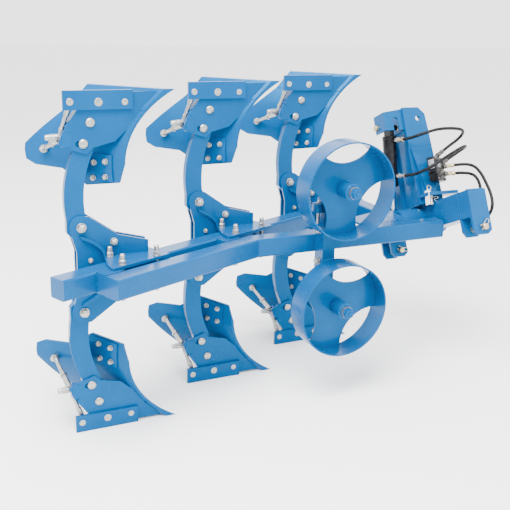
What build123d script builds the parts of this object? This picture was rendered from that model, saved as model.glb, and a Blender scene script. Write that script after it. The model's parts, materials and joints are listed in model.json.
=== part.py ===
"""Three-furrow reversible mounted plough: one STEP file per named piece, in millimetres.

Frame of the model while it is built: +X is the way the plough travels, +Y is its left, +Z is up.
X = 0 is the heel of the rear landside, Y = 0 its outer face, Z = 0 the middle of the beams. The
lower bodies throw to +Y, and the upper bodies are their mirror images in the plane Z = 0. At the
end everything moves together, so that the origin is on the ground under the middle of the plough.
"""

import os
from math import atan2, cos, degrees, hypot, pi, radians, sin, sqrt, tan

from build123d import *

os.makedirs("parts", exist_ok=True)

# ---- driving dimensions (mm, degrees) ----
BODIES = 3
BODY_STEP = 569.0  # from body to body along the travel
FURROW = 253.0  # from body to body across the travel
SOLE = 680.0  # beam middle to the underside of a landside

BEAM = 80.0  # square beam tube
WALL = 7.0
CORNER = 8.0  # outside radius of the tube's corners
BEAM_GAP = 50.0  # slot between the two beams
BACK_BEAM_Y = -172.0  # near face of the back beam at X = 0
BACK_BEAM_START = -64.0  # along the beams
FRONT_BEAM_START = 75.0
FRONT_BEAM_Y = 47.0  # near face of the straight front part
FRONT_BEAM_END_X = 1772.0
SLOT_END = 710.0  # rear face of the cross piece that ends the slot
CROSS_FRONT_X = 1646.0  # front face of the front cross tube
CAP = 6.0

AXIS_Y = 240.0  # turnover axis
ROLL = -25.0  # headstock against the frame as it is parked
SHAFT_R = 55.0
SHAFT_END_X = 1940.0
HUB_R = 76.0
HUB_REAR_X = 1785.0
RUNNING = 0.08  # radial clearance of turning fits

# ---- places that follow ----
BEAM_ANGLE = degrees(atan2(FURROW, BODY_STEP))
ALONG = (cos(radians(BEAM_ANGLE)), sin(radians(BEAM_ANGLE)))
BEAM_FRAME = Pos(0, BACK_BEAM_Y, 0) * Rot(0, 0, BEAM_ANGLE)
HALF = BEAM / 2
HEAD = Pos(0, AXIS_Y, 0) * Rot(ROLL, 0, 0)

pieces = {}


# ---- helpers ----
def block(x0, x1, y0, y1, z0, z1):
    """A box between two corners."""
    return Pos((x0 + x1) / 2, (y0 + y1) / 2, (z0 + z1) / 2) * Box(x1 - x0, y1 - y0, z1 - z0)


def flat(points):
    return make_face(Polyline(*points, close=True))


def plate_y(face, y0, y1):
    """A face drawn in X and Z, thick from y0 to y1."""
    return extrude(Plane(origin=(0, y1, 0), x_dir=(1, 0, 0), z_dir=(0, -1, 0)) * face, y1 - y0)


def plate_z(face, z0, z1):
    """A face drawn in X and Y, thick from z0 to z1."""
    return extrude(Pos(0, 0, z0) * face, z1 - z0)


def plate_x(face, x0, x1):
    """A face drawn in Y and Z, thick from x0 to x1."""
    return extrude(Plane(origin=(x0, 0, 0), x_dir=(0, 1, 0), z_dir=(1, 0, 0)) * face, x1 - x0)


def rod_x(y, z, r, x0, x1):
    return Pos((x0 + x1) / 2, y, z) * Rot(0, 90, 0) * Cylinder(r, x1 - x0)


def rod_y(x, z, r, y0, y1):
    return Pos(x, (y0 + y1) / 2, z) * Rot(90, 0, 0) * Cylinder(r, y1 - y0)


def rod_z(x, y, r, z0, z1):
    return Pos(x, y, (z0 + z1) / 2) * Cylinder(r, z1 - z0)


def upside(shape):
    """The mirror image in the plane of the beams."""
    return mirror(shape, Plane.XY)


def both(shape):
    return [shape, upside(shape)]


def group(name, shapes):
    """One node of several solids that do not touch, or of one."""
    solids = [s for shape in shapes for s in shape.solids()]
    pieces[name] = solids[0] if len(solids) == 1 else Compound(children=solids)


# ---- beams ----
def square_bar(x0, x1):
    """A bar along X, of the tube's outer section, with its middle on the axis."""
    bar = block(x0, x1, -HALF, HALF, -HALF, HALF)
    return fillet(bar.edges().filter_by(Axis.X), CORNER)


def square_tube(x0, x1):
    inner = BEAM / 2 - WALL
    return square_bar(x0, x1) - block(x0 - 1, x1 + 1, -inner, inner, -inner, inner)


def bent_beam():
    """The front beam, slanting at the rear and straight in front, mitred at the bend."""
    middle = -BEAM_GAP - HALF
    start = (BEAM_FRAME * Pos(FRONT_BEAM_START, middle, 0)).position
    y = FRONT_BEAM_Y + HALF
    bend_x = start.X + (y - start.Y) / ALONG[1] * ALONG[0]
    mitre = Pos(bend_x, y, 0) * Rot(0, 0, BEAM_ANGLE / 2)
    slanting = BEAM_FRAME * Pos(0, middle, 0) * square_tube(FRONT_BEAM_START, FRONT_BEAM_END_X + 500)
    straight = Pos(0, y, 0) * square_tube(0, FRONT_BEAM_END_X)
    slanting &= mitre * block(-3000, 0, -1000, 1000, -200, 200)
    straight &= mitre * block(0, 3000, -1000, 1000, -200, 200)
    return (slanting + straight).solids()[0]


def beams():
    past = CROSS_FRONT_X / ALONG[0] + 2 * BEAM
    back = BEAM_FRAME * Pos(0, HALF, 0) * square_tube(BACK_BEAM_START, past)
    back -= block(CROSS_FRONT_X, CROSS_FRONT_X + 1000, -1000, 3000, -200, 200)
    pieces["back_beam"] = back.solids()[0]
    pieces["front_beam"] = bent_beam()

    ties = [block(s, s + BEAM, -BEAM_GAP, 0, -HALF, HALF) for s in (FRONT_BEAM_START, SLOT_END)]
    group("slot_ends", [BEAM_FRAME * tie for tie in ties])

    cross_y0 = FRONT_BEAM_Y + BEAM
    cross = Pos(CROSS_FRONT_X - HALF, 0, 0) * Rot(0, 0, 90) * square_tube(cross_y0, 1200)
    far_side = BEAM_FRAME * block(-200, 3000, 0, 2000, -200, 200)
    cross = (cross - far_side).solids()[0]
    pieces["front_cross_tube"] = cross

    caps = [
        BEAM_FRAME * Pos(0, HALF, 0) * square_bar(BACK_BEAM_START - CAP, BACK_BEAM_START),
        BEAM_FRAME * Pos(0, -BEAM_GAP - HALF, 0) * square_bar(FRONT_BEAM_START - CAP, FRONT_BEAM_START),
        Pos(0, FRONT_BEAM_Y + HALF, 0) * square_bar(FRONT_BEAM_END_X, FRONT_BEAM_END_X + CAP),
    ]
    slant = BEAM_FRAME * Pos(0, HALF, 0) * square_bar(0, 3000)
    caps.append(slant & block(CROSS_FRONT_X, CROSS_FRONT_X + CAP, 0, 3000, -HALF, HALF))
    group("beam_end_caps", caps)


# ---- corner gussets and the turnover shaft with its crank ----
CRANK_R = 100.0  # turnover axis to the crank pin
CYLINDER_X = 1692.0  # plane the cylinder works in
EYE_W = 44.0
LUG = 12.0
LUG_R = 32.0
CRANK_PIN_R = 14.0
EYE_GAP = 1.5


def corner_gussets():
    x1 = CROSS_FRONT_X - BEAM
    y0 = FRONT_BEAM_Y + BEAM
    outline = [(x1 - 190, y0), (x1 - 210, y0 + 110), (x1, y0 + 185), (x1, y0)]
    top = plate_z(flat(outline), HALF - 10, HALF)
    group("corner_gussets", both(top))


def turnover_shaft():
    shaft = rod_x(AXIS_Y, 0, SHAFT_R, CROSS_FRONT_X, SHAFT_END_X)
    shaft -= rod_x(AXIS_Y, 0, SHAFT_R - 15, CROSS_FRONT_X - 1, SHAFT_END_X + 1)
    rear_x = CYLINDER_X - EYE_W / 2 - EYE_GAP - LUG
    front_x = CYLINDER_X + EYE_W / 2 + EYE_GAP
    pin_y = AXIS_Y + CRANK_R
    reach = SHAFT_R - 6
    for x0 in (rear_x, front_x):
        arm = rod_x(pin_y, 0, LUG_R, x0, x0 + LUG)
        arm += block(x0, x0 + LUG, AXIS_Y + reach, pin_y, -LUG_R, LUG_R)
        arm -= rod_x(AXIS_Y, 0, reach, x0 - 1, x0 + LUG + 1)
        arm -= rod_x(pin_y, 0, CRANK_PIN_R, x0 - 1, x0 + LUG + 1)
        shaft += arm
    pieces["turnover_shaft"] = shaft.solids()[0]
    ends = [(rear_x - 1, rear_x + LUG), (front_x, front_x + LUG + 8)]
    group("crank_pins", [rod_x(pin_y, 0, CRANK_PIN_R, x0, x1) for x0, x1 in ends])


# ---- plough body: template for the rear lower one ----
PLATE = 12.0
LAND_T = 12.0
FROG_T = 8.0
LEG_T = 30.0
LEG_W = 74.0
FROG_Y = LAND_T
LEG_Y = FROG_Y + FROG_T
PIVOT = (53.0, 170.0)  # leg pivot: X, and distance from the beam middle
SHEAR = (176.0, 106.0)
FROG_SLOT = (72.0, -486.0, 10.5, 19.0)  # for the leg's upper bolt: X, Z, radius, travel
EAR = (-6.0, 29.0, 10.0, 37.0, -529.0, -475.0)  # block that the stay is screwed to
FLANGE = ((10, -549), (56, -614), (62.5, -609.4), (16.5, -544.4))  # turned back from the frog's rear edge
FLANGE_W = 38.0
STAY_R = 6.0
LAND_H = 70.0
LAND_L = 258.0
BOARD_T = 8.0
FACE_R = 352.0  # radius of the moldboard's working face
FACE_N = 158.0  # how far forward the working face is where it stands upright
FACE_D = 400.0  # distance below the beam middle where it stands upright
SWEEP = 135.4  # direction of the level lines of the moldboard, from the travel
SHARE_H = 78.0
SHARE_T = 12.0
SHARE_FOOT = 30.0  # flat underneath, behind the edge
EDGE_L = 360.0  # length of the cutting edge
SHARE_TOP = SOLE - SHARE_H


def face_n(d, deeper=0.0):
    """How far forward the face is at distance d below the beam middle."""
    r = FACE_R + deeper
    return FACE_N + FACE_R - sqrt(r * r - (d - FACE_D) ** 2)


LEVEL = (cos(radians(SWEEP)), sin(radians(SWEEP)))
FORWARD = (LEVEL[1], -LEVEL[0])
BOARD_PLANE = Plane(origin=(0, 0, 0), x_dir=(FORWARD[0], FORWARD[1], 0), z_dir=(-LEVEL[0], -LEVEL[1], 0))


def board_sheet(d0, d1, deeper, thick, w0, w1):
    """A curved sheet behind the working face, d0 to d1 below the beam and w0 to w1 along its level lines."""
    mid = (d0 + d1) / 2
    front = ThreePointArc(*[(face_n(d, deeper), -d) for d in (d0, mid, d1)])
    back = ThreePointArc(*[(face_n(d, deeper + thick), -d) for d in (d1, mid, d0)])
    rim = [front, Line(front @ 1, back @ 0), back, Line(back @ 1, front @ 0)]
    plane = Plane(origin=(LEVEL[0] * w1, LEVEL[1] * w1, 0), x_dir=BOARD_PLANE.x_dir, z_dir=BOARD_PLANE.z_dir)
    return extrude(plane * make_face(rim), w1 - w0)


def board_prism(points):
    """A prism square to the level lines, on an outline given along them and up from the beam middle."""
    behind = (-FORWARD[0] * 500, -FORWARD[1] * 500, 0)
    plane = Plane(origin=behind, x_dir=(LEVEL[0], LEVEL[1], 0), z_dir=(FORWARD[0], FORWARD[1], 0))
    return extrude(plane * flat(points), 1400)


def across(x, y):
    """Distance of a point along the level lines."""
    return x * LEVEL[0] + y * LEVEL[1]


def moldboard():
    sheet = board_sheet(300, SHARE_TOP, 0, BOARD_T, -260, 330)
    outline = [
        (-134, -331),
        (12, -308),
        (across(43, 202), -366),
        (across(-30, 300), -371),
        (across(-74, 313), -390),
        (across(-97, 298), -424),
        (across(-96, 297), -451),
        (across(-40, 267), -508),
        (across(60, 214), -SHARE_TOP),
        (across(500, 0), -SHARE_TOP),
        (across(500, 0), -480),
        (-187, -480),
    ]
    board = sheet & board_prism(outline)
    board -= block(-1000, 2000, -1000, 0, -2000, 0)
    return board.solids()[0]


def share():
    tip_n = face_n(SOLE)
    front = ThreePointArc(*[(face_n(d), -d) for d in (SHARE_TOP, (SHARE_TOP + SOLE) / 2, SOLE)])
    rim = [
        front,
        Line((tip_n, -SOLE), (tip_n - SHARE_FOOT, -SOLE)),
        Line((tip_n - SHARE_FOOT, -SOLE), (face_n(SHARE_TOP) - SHARE_T, -SHARE_TOP)),
        Line((face_n(SHARE_TOP) - SHARE_T, -SHARE_TOP), (face_n(SHARE_TOP), -SHARE_TOP)),
    ]
    w1 = 352.0
    plane = Plane(origin=(LEVEL[0] * w1, LEVEL[1] * w1, 0), x_dir=BOARD_PLANE.x_dir, z_dir=BOARD_PLANE.z_dir)
    bar = extrude(plane * make_face(rim), w1 + 330)
    bar -= block(-1000, 2000, -1000, 0, -2000, 0)
    wing = across(tip_n / FORWARD[0], 0) + EDGE_L
    beyond = [(across(60, 214), -SHARE_TOP), (wing, -SOLE), (wing + 400, -SOLE), (wing + 400, -SHARE_TOP)]
    return (bar - board_prism(beyond)).solids()[0]


def in_front_of_board():
    """Everything ahead of the moldboard's back, to cut what is fastened behind it."""
    points = [(face_n(d, BOARD_T), -d) for d in (300, 500, SOLE + 60)]
    back = ThreePointArc(*points)
    rim = [back, Polyline(back @ 1, (1500, -SOLE - 60), (1500, -300), back @ 0)]
    plane = Plane(origin=(LEVEL[0] * 600, LEVEL[1] * 600, 0), x_dir=BOARD_PLANE.x_dir, z_dir=BOARD_PLANE.z_dir)
    return extrude(plane * make_face(rim), 1200)


def leg():
    px, pd = PIVOT
    rear = ThreePointArc((0, -200), (-3, -320), (36, -460))
    front = ThreePointArc((108, -452), (LEG_W - 2, -330), (LEG_W, -200))
    rim = [
        rear,
        Polyline(rear @ 1, (60, -625), (138, -625), front @ 0),
        front,
        Polyline(front @ 1, (150, -142), (200, -115), (200, -88), (150, -80), (30, -118), (0, -150), rear @ 0),
    ]
    return plate_y(make_face(rim), LEG_Y, LEG_Y + LEG_T).solids()[0]


def frog():
    outline = [
        (-20, -487), (16, -468), (84, -447), (108, -470), (190, -490), (262, -555), (320, -600), (420, -650),
        (420, -672), (262, -672), (12, -660), (20, -616), (56, -614), (10, -549), (22, -536), (2, -540),
    ]
    sheet = plate_y(flat(outline), FROG_Y, FROG_Y + FROG_T)
    x, z, r, travel = FROG_SLOT
    slot = rod_y(x, z, r, 0, 100) + rod_y(x - travel, z, r, 0, 100)
    slot += block(x - travel, x, 0, 100, z - r, z + r)
    return sheet - slot


def board_pad():
    """Plate behind the moldboard's front edge, with the web that joins it to the leg's far face."""
    pad = board_sheet(300, 440, BOARD_T, 8, -110, 64)
    pad &= board_prism([(-110, -334), (12, -315), (64, -325), (64, -440), (-110, -436)])
    pad -= block(-1000, 2000, -1000, LEG_Y - 12, -2000, 0)
    web = block(LEG_W - 14, LEG_W - 4, LEG_Y + LEG_T, 400, -425, -345)
    web -= in_front_of_pad()
    return pad.solids()[0], web.solids()[0]


def in_front_of_pad():
    points = [(face_n(d, BOARD_T + 8), -d) for d in (300, 400, 480)]
    back = ThreePointArc(*points)
    rim = [back, Polyline(back @ 1, (1500, -480), (1500, -300), back @ 0)]
    plane = Plane(origin=(LEVEL[0] * 600, LEVEL[1] * 600, 0), x_dir=BOARD_PLANE.x_dir, z_dir=BOARD_PLANE.z_dir)
    return extrude(plane * make_face(rim), 1200)


STAY_TOP = Vector(-29, 226, -439)
STAY_EAR = Vector(-10, 50, -500)
STAY_FOOT = Vector(32, 32, -630)


def rod_between(a, b, r):
    return extrude(Plane(origin=a, z_dir=b - a) * Circle(r), (b - a).length)


def stay(ahead):
    """Adjustable stay from the moldboard's tail past the frog's corner to the heel."""
    shank = STAY_EAR + (STAY_TOP - STAY_EAR) * 0.45
    ahead_of_eye = STAY_TOP + Vector(FORWARD[0], FORWARD[1], 0) * 30
    behind_eye = STAY_TOP - Vector(FORWARD[0], FORWARD[1], 0) * 10
    whole = rod_between(STAY_TOP, STAY_EAR, 9) + rod_between(shank, STAY_EAR, 13)
    whole += rod_between(STAY_EAR, STAY_FOOT, STAY_R)
    whole += rod_between(behind_eye, ahead_of_eye, 15)
    whole += rod_y(STAY_FOOT.X, STAY_FOOT.Z, 10, FROG_Y + FROG_T, STAY_FOOT.Y + 8)
    whole += rod_x(STAY_EAR.Y, STAY_EAR.Z - 8, 11, -58, 4)
    whole += block(-16, 4, FROG_Y + FROG_T, STAY_EAR.Y + 12, STAY_EAR.Z - 24, STAY_EAR.Z)
    return (whole - ahead).solids()[0]


def body_pieces():
    board = moldboard()
    ahead = in_front_of_board()
    shin = leg()
    sheet = frog()
    bar = block(0, LAND_L, 0, LAND_T, -SOLE, -SOLE + LAND_H)
    blade = share()
    back = FROG_Y + FROG_T
    flange = plate_y(flat(FLANGE), back, back + FLANGE_W) - shin
    flange -= rod_between(STAY_EAR, STAY_FOOT, STAY_R + 0.5)
    plate = max((sheet - ahead - blade).solids(), key=lambda solid: solid.volume)
    plate = (plate + block(*EAR) + flange).solids()[0]
    pad, web = board_pad()
    shin = (shin - ahead).solids()[0]
    return {
        "leg": [shin],
        "frog": [plate],
        "landside": [bar],
        "moldboard": [board],
        "share": [blade],
        "moldboard_pad": [pad + web],
        "stay": [(stay(ahead) - plate).solids()[0]],
    }


# ---- brackets that clamp a pair of legs on the beams ----
BASE_T = 12.0
# along and across the beams
BASE = ((128, -38), (150, -40), (400, -40), (400, 118), (202, 118), (197, 109), (143, 26), (122, -28))
RIB = (
    (44, 143), (92, 121), (120, 102), (136, 80), (144, 52),
    (132, 52), (125, 74), (110, 91), (86, 110), (50, 129),
)
RIB_OUT = 14.0
STUDS = ((180.0, -20.0), (350.0, -20.0), (210.0, 90.0), (372.0, 100.0))
STUD_R = 8.0
LOBE_R = 46.0


def bracket():
    px, pd = PIVOT
    sx, sd = SHEAR
    lobe = [(px - LOBE_R, pd - 5), (px - LOBE_R, pd), (px, pd + LOBE_R - 2)]
    outline = [(32, 0), (32, 75), *lobe, (80, 212), (193, 132), (313, 100), (313, 40), (180, 0)]
    side = flat(outline) + Pos(px, pd) * Circle(LOBE_R)
    upper = [plate_y(side, y, y + PLATE) for y in (LEG_Y - PLATE, LEG_Y + LEG_T)]
    rib = plate_y(flat(RIB), LEG_Y - PLATE - RIB_OUT, LEG_Y - PLATE)
    base = BEAM_FRAME * plate_z(flat(BASE), HALF, HALF + BASE_T)
    whole = upper[0] + upper[1] + rib + base
    whole += upside(whole)
    room = BEAM_FRAME * block(-500, 2500, -500, BEAM + 1.5, -HALF, HALF)
    whole -= room
    for s, t in STUDS:
        whole -= BEAM_FRAME * rod_z(s, t, STUD_R, -HALF - BASE_T - 1, HALF + BASE_T + 1)
    return whole.solids()


def clamp_studs():
    reach = HALF + BASE_T + 30
    return [BEAM_FRAME * rod_z(s, t, STUD_R, -reach, reach) for s, t in STUDS]


def bodies():
    template = body_pieces()
    frame = bracket()
    studs = clamp_studs()
    stations = ("rear", "middle", "front")
    all_studs = []
    for k, station in enumerate(stations[:BODIES]):
        place = Pos(k * BODY_STEP, k * FURROW, 0)
        for name, shapes in template.items():
            group(f"{name}s_{station}", [place * s for shape in shapes for s in both(shape)])
        group(f"leg_bracket_{station}", [place * s for s in frame])
        all_studs += [place * s for s in studs]
    group("clamp_studs", all_studs)


# ---- depth wheels ----
WHEEL_R = 208.0
RIM_T = 6.0
RIM_W = 106.0
WHEEL_NEAR_Y = -140.0
WHEEL_X = 1145.0
WHEEL_Z = 262.0
WEB_Y = -60.0
WEB_T = 8.0
WHEEL_HUB_R = 34.0
LOWER_WHEEL_TURN = 15.0
AXLE_R = 18.0
HUB_NEAR_Y = -140.0
HUB_FAR_Y = -42.0
POST = (1085.0, 1145.0, -22.0, 47.0)
POST_END = 205.0


def wheel():
    rim = rod_y(0, 0, WHEEL_R, WHEEL_NEAR_Y, WHEEL_NEAR_Y + RIM_W)
    rim -= rod_y(0, 0, WHEEL_R - RIM_T, WHEEL_NEAR_Y - 1, WHEEL_NEAR_Y + RIM_W + 1)
    web = rod_y(0, 0, WHEEL_R - RIM_T, WEB_Y, WEB_Y + WEB_T)
    for turn in (90, 210, 330):
        x = 268 * cos(radians(turn))
        z = 268 * sin(radians(turn))
        web -= rod_y(x, z, 160, WEB_Y - 1, WEB_Y + WEB_T + 1)
    hub = rod_y(0, 0, WHEEL_HUB_R, HUB_NEAR_Y, HUB_FAR_Y)
    whole = rim + web + hub
    whole -= rod_y(0, 0, AXLE_R + RUNNING, HUB_NEAR_Y - 1, HUB_FAR_Y + 1)
    return whole.solids()[0]


def wheels():
    disc = wheel()
    pieces["depth_wheel_upper"] = Pos(WHEEL_X, 0, WHEEL_Z) * disc
    pieces["depth_wheel_lower"] = Pos(WHEEL_X, 0, -WHEEL_Z) * Rot(0, LOWER_WHEEL_TURN, 0) * disc
    x0, x1, y0, y1 = POST
    pieces["wheel_post"] = block(x0, x1, y0, y1, -POST_END, POST_END)
    arm_y = (y0 + 10, y0 + 30)
    arms = []
    axles = []
    for side in (1, -1):
        z = side * WHEEL_Z
        low, high = sorted((side * POST_END, z))
        plate = block(x0, WHEEL_X + 32, *arm_y, low, high) + rod_y(WHEEL_X, z, 32, *arm_y)
        plate += block(x0, WHEEL_X, *arm_y, *sorted((side * POST_END, side * (WHEEL_Z + 20))))
        plate -= rod_y(WHEEL_X, z, AXLE_R, arm_y[0] - 1, arm_y[1] + 1)
        arms.append(plate)
        axle = rod_y(WHEEL_X, z, AXLE_R, HUB_NEAR_Y - 4, arm_y[1])
        axle += rod_y(WHEEL_X, z, WHEEL_HUB_R - 8, HUB_NEAR_Y - 20, HUB_NEAR_Y - 1)
        axles.append(axle)
    group("wheel_arms", arms)
    group("wheel_axles", axles)


# ---- headstock, built upright about the turnover axis ----
ARM = (HUB_REAR_X, HUB_REAR_X + 100.0, 62.0)  # rear and front faces, half height
ARM_WALL = 8.0
CLEVIS_OUT = 385.0
CLEVIS_GAP = 62.0
CLEVIS_T = 14.0
CLEVIS_DROP = 148.0
LINK_PIN_X = HUB_REAR_X + 54.0
LINK_PIN_Z = -115.0
LINK_PIN_R = 14.2
MAST_X = (1745.0, 1868.0)
MAST_TOP = 548.0
MAST_OUT = 78.0
MAST_T = 14.0
TOP_HOLE = (1816.0, 492.0, 12.75)
STIFF_TOP = 340.0  # where the sloping plates meet the mast
STIFF_FOOT = (104.0, 107.0)  # their lower edge: from the mast's middle, and up
STIFF_T = 10.0
# rear web outside the mast plates: across, and up from the turnover axis
NEAR_WING = ((-MAST_OUT, 332), (-MAST_OUT, 62), (-STIFF_FOOT[0], 62), (-STIFF_FOOT[0], 107))
FAR_WING = ((MAST_OUT, 62), (MAST_OUT, 400), (158, 62))
LOCK_PIN = (1771.0, -130.0)
LOCK_R = 7.0
LOCK_LOW = 47.0  # clear of the beam's end as it swings past
VALVE_AT = (1829.0, -135.0, 215.0)
VALVE_SIZE = (98.0, 42.0, 118.0)
VALVE_TURN = 30.0
CYL_PIVOT_Z = 470.0
CYL_PIN_R = 14.0
BRACKET_T = 10.0
BOX_HALF = 45.0
BOX_REAR = 55.0  # from the cylinder's middle to the rear cheek
BOX_FAR = 20.0
BOX_NEAR = 56.0
LUG_SLOT = 30.0


# ---- hydraulics on the headstock; routes in its own frame, from the valve outwards ----
HOSE_R = 7.5
FITTING_R = 8.0
# name, point inside the valve, length of the straight fitting, cylinder port, then the route: x, y, z
HOSES = (
    ("hose_cylinder_upper", (1838, -132, 245), 55, 0, (
        (1890, -125, 305), (1951, -113, 337), (1988, -135, 358), (1993, -179, 377), (1963, -215, 388),
        (1894, -229, 392), (1815, -222, 394), (1757, -183, 386),
    )),
    ("hose_cylinder_lower", (1850, -121, 243), 45, 1, (
        (1912, -118, 262), (1952, -116, 281), (1984, -144, 300), (1985, -192, 308), (1949, -223, 303),
        (1879, -231, 277), (1803, -225, 243), (1752, -190, 216), (1722, -140, 205),
    )),
    ("supply_hose_upper", (1852, -118, 225), 60, None, (
        (1932, -138, 231), (1982, -158, 230), (2010, -196, 210), (1996, -250, 160), (1974, -300, 98),
        (1962, -334, 30), (1950, -338, -32), (1922, -300, -78), (1906, -235, -92), (1905, -175, -70),
        (1905, -150, -20), (1905, -150, 30),
    )),
    ("supply_hose_lower", (1852, -118, 188), 60, None, (
        (1930, -138, 191), (1975, -156, 187), (2000, -192, 168), (1984, -238, 127), (1957, -272, 82),
        (1936, -306, 38), (1922, -314, -12), (1910, -277, -50), (1906, -224, -50), (1906, -187, -12),
        (1906, -187, 30),
    )),
)


def cylinder_place():
    """Where the barrel's frame is: its origin on the top pin, its Z along the cylinder."""
    top = (HEAD * Pos(0, 0, CYL_PIVOT_Z)).position
    dy = AXIS_Y + CRANK_R - top.Y
    return Pos(CYLINDER_X, top.Y, top.Z) * Rot(degrees(atan2(dy, top.Z)), 0, 0), hypot(dy, top.Z)


def port_point(port, reach):
    """A point on a port's axis, in the headstock's frame."""
    place, length = cylinder_place()
    return (HEAD.inverse() * place * Pos(0, 0, PORTS[port]) * Rot(0, 0, PORT_TURN) * Pos(0, -reach, 0)).position


def hose(points):
    """A tube of straight runs joined by arcs that touch them."""
    here = points[0]
    edges = []
    radii = []
    for before, corner, after in zip(points, points[1:], points[2:]):
        a = before - corner
        b = after - corner
        half_turn = radians(180 - a.get_angle(b)) / 2
        back = 0.45 * min(a.length, b.length)
        radius = back / tan(half_turn)
        start = corner + a.normalized() * back
        stop = corner + b.normalized() * back
        inward = (a.normalized() + b.normalized()).normalized()
        middle = corner + inward * (radius / cos(half_turn) - radius)
        edges += [Line(here, start), ThreePointArc(start, middle, stop)]
        radii.append(round(radius))
        here = stop
    edges.append(Line(here, points[-1]))
    path = Wire(edges)
    tube = sweep(Plane(origin=points[0], z_dir=points[1] - points[0]) * Circle(HOSE_R), path=path)
    share = tube.volume / (pi * HOSE_R**2 * path.length)
    print("hose radii", radii, "length", round(path.length), "volume share", share)
    return tube.solids()[0]


def hydraulics(valve):
    fittings = []
    ends = {}
    for name, inside, straight, port, route in HOSES:
        points = [Vector(*point) for point in route]
        if port is not None:
            points += [port_point(port, PORT_REACH + 55), port_point(port, PORT_REACH + 0.4)]
        begin = Vector(*inside)
        elbow = points[0] - (points[1] - points[0]).normalized() * straight
        fitting = rod_between(begin, elbow, FITTING_R) + rod_between(elbow, points[0], FITTING_R)
        fitting += Pos(*elbow) * Sphere(FITTING_R)
        fitting -= valve
        fittings.append(HEAD * max(fitting.solids(), key=lambda s: s.volume))
        tube = hose(points)
        pieces[name] = HEAD * tube
        if port is None:
            ends[name] = points[-1]
    group("valve_fittings", fittings)

    x1 = ARM[1]
    couplers = []
    holder = block(x1, x1 + 38, -212, -126, 50, 56)
    for x, y, z in ends.values():
        coupler = rod_z(x, y, 10, z, z + 18) + rod_z(x, y, 12, z + 16, z + 38)
        coupler += rod_z(x, y, 9, z + 38, z + 50)
        holder -= rod_z(x, y, 12, z, z + 60)
        couplers.append(HEAD * coupler.solids()[0])
    group("hose_couplers", couplers)
    pieces["coupler_holder"] = HEAD * holder.solids()[0]


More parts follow.
